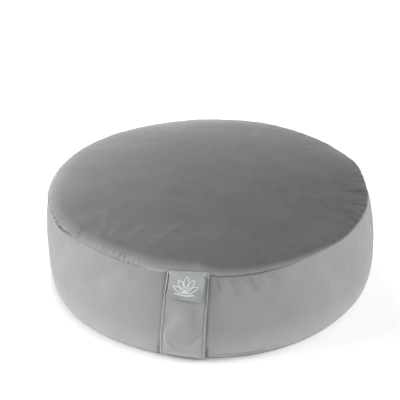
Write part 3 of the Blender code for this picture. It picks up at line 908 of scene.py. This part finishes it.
def laid_strip(columns, rows, place):
    """A closed flat strip, each point of which is then laid by place(across, down, layer)."""
    bm = bmesh.new()
    bmesh.ops.create_grid(bm, x_segments=len(columns) - 1, y_segments=len(rows) - 1, size=1.0)
    raised = bmesh.ops.extrude_face_region(bm, geom=list(bm.faces), use_keep_orig=True)["geom"]
    outer = [item for item in raised if isinstance(item, bmesh.types.BMVert)]
    bmesh.ops.translate(bm, verts=outer, vec=(0.0, 0.0, 1.0))
    for vert in bm.verts:
        column = round((vert.co.x + 1.0) / 2.0 * (len(columns) - 1))
        row = round((vert.co.y + 1.0) / 2.0 * (len(rows) - 1))
        vert.co = place(columns[column], rows[row], round(vert.co.z))
    bmesh.ops.recalc_face_normals(bm, faces=bm.faces)
    if bm.calc_volume(signed=True) < 0.0:
        bmesh.ops.reverse_faces(bm, faces=bm.faces)
    return bm
STRAP_HALF_COLUMNS = (
    0, 0.1, 0.2, 0.3, 0.4, 0.5, 0.58, 0.66, 0.73, 0.79, 0.84, 0.862, 0.88, 0.898, 0.915, 0.935, 0.96, 0.98, 1,
)
strap_columns = [-x for x in reversed(STRAP_HALF_COLUMNS[1:])] + list(STRAP_HALF_COLUMNS)
strap_rows = [STRAP_TOP + (0.92 - STRAP_TOP) * i / 64 for i in range(65)]
strap_rows += [0.92 + 0.08 * i / 14 for i in range(1, 15)]
strap_rows += [1.0 + STRAP_UNDER * share for share in (0.4, 0.7, 1.0)]
strap = as_object("velvet_strap", laid_strip(strap_columns, strap_rows, strap_point), velvet("velvet_of_the_strap"))
finer(strap)

# The strap's lightness: its pile, painted highlights on its ridges and painted light low down,
# painted shade in the lines of stitches and at its very edges, and painted highlight or shade along
# its creases.
STRAP_NAP, STRAP_PAINTED_LIGHT_LOW = 0.70, 0.10
# Across the strap, and painted light and shade there.
STRAP_LIGHT_AND_SHADE_ACROSS = (
    (-1, -0.97, -0.94, -0.91, -0.88, -0.84, -0.7, 0.7, 0.88, 0.91, 0.94, 0.97, 1),
    (-0.34, 0.04, 0.12, 0.05, 0.06, 0.02, 0, 0, 0, -0.02, -0.03, -0.12, -0.38),
)
# Lighter or darker patches on its face: across, down, half width, half height, lightness.
STRAP_PATCHES = ((-0.35, 0.44, 0.5, 0.13, 0.1), (0, 0.73, 0.7, 0.07, -0.05))
STRAP_SHADE_BY_CREASE = 0.18
# The line above the stitches at its upper right is painted shade, and its first millimetres are
# painted light.
SHADE_UPPER_RIGHT, LIGHT_AT_START = 0.14, 0.30
# Near its lower end a painted highlight marks the hem, and below it the strap turns under: how far
# down the hem is at the left and right, its lightness, and across the strap, the darkness of the
# painted shade on what turns under.
STRAP_HEM_AT, HEM_HIGHLIGHT = (0.922, 0.935), 0.14
SHADE_TURNED_UNDER = ((-1, -0.7, -0.3, 0.55, 0.8, 1), (0.08, 0.25, 0.55, 0.55, 0.18, 0.05))
# Painted shadow on the strap under the tag's lower edge.
SHADOW_UNDER_TAG = 0.28
# Where the tag over the strap ends: share of the way down, and more of it at its right.
TAG_END, TAG_SLANT = 0.260, 0.014


def paint_strap(mesh):
    points = points_of(mesh)
    _, _, down = on_cover(points)
    sideways = np.radians(azimuth_of(points[:, 0], points[:, 1])) * BAND_RADIUS
    across = (sideways - strap_middle(np.minimum(down, 1.0))) / strap_half_width(down)
    nap_and_painted_light = STRAP_NAP + STRAP_PAINTED_LIGHT_LOW * smooth((down - 0.45) / 0.4) + np.interp(across, *STRAP_LIGHT_AND_SHADE_ACROSS)
    below_tag = (down - TAG_END - 0.007 - TAG_SLANT * across) * STRAP_LONG
    nap_and_painted_light -= SHADOW_UNDER_TAG * np.exp(-((below_tag / 1.3) ** 2)) * smooth((across + 0.5) / 0.6) * (across < 0.62)
    nap_and_painted_light -= SHADE_UPPER_RIGHT * smooth((across - 0.84) / 0.04) * smooth((0.20 - down) / 0.08)
    nap_and_painted_light += LIGHT_AT_START * smooth((0.025 - down) / 0.015)
    for *spot, lightness in STRAP_PATCHES:
        nap_and_painted_light += lightness * soft_spot(across, down, *spot)
    end, hem = (np.interp(across, (-1.0, 1.0), sides) for sides in (STRAP_ENDS, STRAP_HEM_AT))
    nap_and_painted_light += HEM_HIGHLIGHT * np.exp(-(((down - hem) / 0.011) ** 2))
    nap_and_painted_light -= np.interp(across, *SHADE_TURNED_UNDER) * smooth((down - end + 0.052) / 0.016)
    nap_and_painted_light += STRAP_SHADE_BY_CREASE * strap_creases(across, down) * (np.abs(across) < 0.86)
    keep_value(mesh, "nap_and_painted_light", nap_and_painted_light)


paint_strap(strap.data)

THREAD = (0.33, 0.33, 0.325)


def thread_material(name, colour):
    """Twisted polyester thread: its twist shows as a fine ripple."""
    material, tree, shader = shader_tree(name)
    twist = object_noise(tree, 2600.0, 1.0)
    colour = colour_between(tree, twist, [0.75 * c for c in colour], [1.2 * c for c in colour])
    feed(tree, shader, {"Base Color": colour, "Normal": bump_by(tree, twist, 0.5, 0.0001), "Roughness": 0.55})
    return material


def stitch_line(bm, across):
    """One line of straight stitches in the strap's groove, each a short fat thread."""
    down = 0.05
    while down < 0.985:
        start = strap_point(across, down, 1.0)
        end = strap_point(across, down + STITCH_LONG / STRAP_RUN, 1.0)
        out = strap_frame(strap_middle(down), down)[1]
        run = (end - start).normalized()
        side = run.cross(out).normalized()
        middle = 0.5 * (start + end) + out * 0.1 * MM
        for vert in bmesh.ops.create_icosphere(bm, subdivisions=1, radius=1.0)["verts"]:
            x, y, z = vert.co
            vert.co = middle + run * (x * 0.5 * STITCH_LONG) + (side * y + out * z) * (0.5 * STITCH_THICK)
        down += STITCH_PITCH / STRAP_RUN


stitches = bmesh.new()
for line in (-0.88, 0.88):
    stitch_line(stitches, line)
strap_stitches = as_object("strap_stitches", stitches, thread_material("grey_thread", THREAD))

for piece in (strap, strap_stitches):
    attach(piece, "root")
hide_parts("carry_strap")

# ----------------------------------------
# The tag: a short length of silver-grey satin ribbon, folded double and caught in the top seam
# over the strap, with a lotus woven in white. Its lower edge is free, and lifts at the right.
# ----------------------------------------
TAG_HALF_WIDTH = 0.0182
TAG_OFFSET = -0.4 * MM
# How far its lower corners are drawn to the left, the left one evenly and the right one in a curl.
TAG_SKEW = (3.0 * MM, 4.3 * MM)
TAG_THICKNESS, TAG_GAP, TAG_LIFT = 0.9 * MM, 0.35 * MM, 2.6 * MM
TAG_COLUMNS, TAG_ROWS = 36, 30


def tag_point(across, share, layer):
    """A point of the tag: share 0 is its sewn edge and 1 its free edge, layer 0 lies on the strap."""
    down = STRAP_TOP + (TAG_END + TAG_SLANT * across - STRAP_TOP) * share
    drawn_in = 0.5 * ((1.0 - across) * TAG_SKEW[0] * share + (1.0 + across) * TAG_SKEW[1] * share**2.2)
    sideways = strap_middle(STRAP_TOP) + TAG_OFFSET + across * TAG_HALF_WIDTH - drawn_in
    here, out = strap_frame(sideways, down)
    on_strap = (sideways - strap_middle(down)) / float(strap_half_width(down))
    under = STRAP_GAP + STRAP_SLACK * math.sin(math.pi * down) ** 2
    under += max(strap_thickness(on_strap, down), strap_thickness(0.0, down))
    lift = TAG_LIFT * float(smooth((share - 0.45) / 0.55) * (0.25 + 0.75 * smooth((across + 0.6) / 1.6)))
    # The fold at its lower edge is thicker, and its sides are a woven selvedge.
    thick = TAG_THICKNESS * (1.0 + 0.35 * float(smooth((share - 0.90) / 0.05)))
    return here + out * (under + TAG_GAP + lift + layer * thick)


SATIN_DARK, SATIN_LIGHT = (0.31, 0.345, 0.36), (0.53, 0.54, 0.535)


def satin_material():
    """Satin ribbon: fine ribs across it, and a painted sheen and shade that vary over its face."""
    material, tree, shader = shader_tree("silver_satin")
    place = add_node(tree, "TexCoord", {})["Object"]
    waves = {"Vector": place, "Scale": 420.0, "Distortion": 0.6, "Detail": 2.0}
    ribs = add_node(tree, "TexWave", waves, wave_type="BANDS", bands_direction="Z")["Fac"]
    face = add_node(tree, "Attribute", {}, attribute_name="painted_sheen_and_shade")["Fac"]
    tone = sum_of(tree, sum_of(tree, face, object_noise(tree, 60.0, 2.0), 0.5), ribs, 0.18)
    colour = colour_between(tree, tone, SATIN_DARK, SATIN_LIGHT)
    feed(tree, shader, {"Base Color": colour, "Normal": bump_by(tree, ribs, 0.4, 0.00012)})
    feed(tree, shader, {"Roughness": 0.42, "Specular IOR Level": 0.45})
    return material


tag_columns = [-1.0 + 2.0 * i / TAG_COLUMNS for i in range(TAG_COLUMNS + 1)]
tag_rows = [i / TAG_ROWS for i in range(TAG_ROWS + 1)]
tag = as_object("satin_tag", laid_strip(tag_columns, tag_rows, tag_point), satin_material())
finer(tag)
# Painted sheen and shade on the tag: its lower half is painted darker and bluer, most of all at the
# left, where one spot of painted shade is given by its place across and down, half width, half height
# and darkness.
TAG_TONE, TAG_LOW_DARK, TAG_LOW_LEFT = 0.58, 0.36, 0.08
TAG_DARK_SPOT = (-0.55, 0.92, 0.3, 0.1, 0.12)
tag_points = points_of(tag.data)
tag_across = (tag_points[:, 0] - strap_middle(STRAP_TOP) - TAG_OFFSET) / TAG_HALF_WIDTH
tag_down = on_cover(tag_points)[2] / TAG_END
tag_tone = TAG_TONE - (TAG_LOW_DARK - TAG_LOW_LEFT * tag_across) * smooth((tag_down - 0.35) / 0.40)
tag_tone -= TAG_DARK_SPOT[-1] * soft_spot(tag_across, tag_down, *TAG_DARK_SPOT[:-1])
keep_value(tag.data, "painted_sheen_and_shade", tag_tone)

# The lotus: five pointed petals that open from one foot, over one soft line of water.
LOTUS_THREAD, LOTUS_RAISED = 0.85 * MM, 0.28 * MM
LOTUS_TALL = 16.5 * MM
LOTUS_FOOT_SHARE = 0.74
WATER_WIDE, WATER_BELOW, WATER_SAG = 20.0 * MM, 1.4 * MM, 1.0 * MM
# Each petal by its lean from upright in degrees, its length as a share of the tallest, and its width.
LOTUS_PETALS = ((0.0, 1.0, 0.34), (-33.0, 0.90, 0.32), (33.0, 0.90, 0.32), (-66.0, 0.84, 0.28), (66.0, 0.84, 0.28))
LOTUS_WHITE = (0.86, 0.87, 0.87)


def on_tag(x, y):
    """A point just over the tag's face: x and y in metres from the lotus's foot, to the right and up."""
    return tag_point(x / TAG_HALF_WIDTH, LOTUS_FOOT_SHARE - y / (STRAP_RUN * TAG_END), 1.0)


def petal_outline(lean, tall, wide, steps=18):
    """Points of one petal from its foot up its left side, round its tip and back down."""
    lean = math.radians(lean)
    left = []
    for i in range(steps + 1):
        share = i / steps
        left.append((-0.5 * wide * math.sin(math.pi * share**0.85) ** 0.8, share * tall))
    outline = left + [(-x, y) for x, y in reversed(left[:-1])]
    return [(x * math.cos(lean) + y * math.sin(lean), y * math.cos(lean) - x * math.sin(lean)) for x, y in outline]


def satin_stitch(bm, path):
    """A flat raised line of thread along a path on the tag."""
    raised = strap_frame(0.0, 0.15)[1] * LOTUS_RAISED
    rows = []
    for i, (x, y) in enumerate(path):
        ahead = path[min(i + 1, len(path) - 1)]
        behind = path[max(i - 1, 0)]
        run = Vector((ahead[0] - behind[0], ahead[1] - behind[1])).normalized() * 0.5 * LOTUS_THREAD
        row = (on_tag(x - run.y, y + run.x), on_tag(x, y) + raised, on_tag(x + run.y, y - run.x))
        rows.append([bm.verts.new(point) for point in row])
    for a, b in zip(rows, rows[1:]):
        for i in (0, 1):
            bm.faces.new((a[i], a[i + 1], b[i + 1], b[i]))


lotus_mesh = bmesh.new()
for lean, tall, wide in LOTUS_PETALS:
    satin_stitch(lotus_mesh, petal_outline(lean, tall * LOTUS_TALL, wide * LOTUS_TALL))
shares = [i / 12 - 0.5 for i in range(13)]
satin_stitch(lotus_mesh, [(s * WATER_WIDE, -WATER_BELOW - WATER_SAG * math.cos(math.pi * s)) for s in shares])
bmesh.ops.recalc_face_normals(lotus_mesh, faces=lotus_mesh.faces)
lotus = as_object("tag_lotus", lotus_mesh, thread_material("white_thread", LOTUS_WHITE))

for piece in (tag, lotus):
    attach(piece, "root")
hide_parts("woven_tag")

# ----------------------------------------
# The studio: a wide white floor that runs out into a pale haze, a soft lamp at the left, at the
# right and behind, and the camera at the height and distance of the photograph.
# ----------------------------------------
FLOOR_SIDE = 60.0
WHITE = (1.0, 1.0, 1.0, 1.0)
# The floor's glow is lowered where the cushion stands close over it, as a painted contact shadow:
# distance from the shadow's middle, and glow.
FLOOR_SHADOW_MIDDLE = (-0.008, 0.006, 0.0)
GLOW_FROM, GLOW_TO = (0.187, 0.217), (0.0, 0.42)
# How the haze fades upwards from the horizon: height, and light.
HAZE_FROM, HAZE_TO = (0.05, 0.14), (0.71, 0.30)
LAMP_WIDE, LAMP_AIM = 1.0, (0.0, 0.0, 0.06)


def map_range(tree, value, source, target, kind="LINEAR"):
    """Maps a value from one range to another."""
    inputs = dict(zip(("Value", "From Min", "From Max", "To Min", "To Max"), (value, *source, *target)))
    return add_node(tree, "MapRange", inputs, interpolation_type=kind)["Result"]


def seamless_floor():
    bm = bmesh.new()
    bmesh.ops.create_grid(bm, x_segments=1, y_segments=1, size=0.5 * FLOOR_SIDE)
    material, tree, shader = shader_tree("white_floor")
    place = add_node(tree, "TexCoord", {})["Object"]
    from_middle = add_node(tree, "VectorMath", {0: place, 1: FLOOR_SHADOW_MIDDLE}, operation="DISTANCE")["Value"]
    # Less glow near the foot: a painted contact shadow.
    glow = map_range(tree, from_middle, GLOW_FROM, GLOW_TO, "SMOOTHSTEP")
    feed(tree, shader, {"Base Color": (0.9, 0.9, 0.9, 1.0), "Roughness": 0.9, "Specular IOR Level": 0.0})
    feed(tree, shader, {"Emission Color": WHITE, "Emission Strength": glow})
    as_object("studio_floor", bm, material)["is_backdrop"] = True


def softbox(name, place, watts):
    lamp = bpy.data.lights.new(name, "AREA")
    lamp.shape = "DISK"
    lamp.size = LAMP_WIDE
    lamp.energy = watts
    made = in_scene(name, lamp)
    made.location = place
    made.rotation_euler = (Vector(LAMP_AIM) - Vector(place)).to_track_quat("-Z", "Y").to_euler()


def white_studio():
    world = bpy.data.worlds.new("studio")
    world.use_nodes = True
    tree = world.node_tree
    up = add_node(tree, "SeparateXYZ", {0: add_node(tree, "TexCoord", {})["Generated"]})["Z"]
    haze = map_range(tree, up, HAZE_FROM, HAZE_TO)
    feed(tree, tree.nodes["Background"], {"Color": WHITE, "Strength": haze})
    bpy.context.scene.world = world
    softbox("left_softbox", (-1.6, -0.5, 0.9), 23.0)
    softbox("right_softbox", (1.6, -0.3, 0.9), 14.0)
    softbox("back_softbox", (-0.6, 1.6, 1.0), 16.6)


def photo_camera():
    """The camera as it was fitted to the outline and the top seam of the photographed cushion."""
    rise, turn = math.radians(31.24), math.radians(7.1)
    away, look_height = 0.8648, 0.0581
    photo_side, focal_pixels = 400.0, 679.6
    middle_across, middle_down = 209.43, 216.67
    lens = bpy.data.cameras.new("photo_camera")
    lens.sensor_width = 36.0
    lens.lens = focal_pixels / photo_side * lens.sensor_width
    lens.shift_x = (0.5 * photo_side - middle_across) / photo_side
    lens.shift_y = (middle_down - 0.5 * photo_side) / photo_side
    lens.clip_end = 50.0
    camera = in_scene("photo_camera", lens)
    flat = away * math.cos(rise)
    camera.location = (flat * math.sin(turn), -flat * math.cos(turn), look_height + away * math.sin(rise))
    camera.rotation_euler = (0.5 * math.pi - rise, 0.0, turn)
    bpy.context.scene.camera = camera


seamless_floor()
white_studio()
photo_camera()
bpy.context.scene.view_settings.view_transform = "Standard"

[[list(corner) for corner in box] for box in (cad_box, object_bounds())]
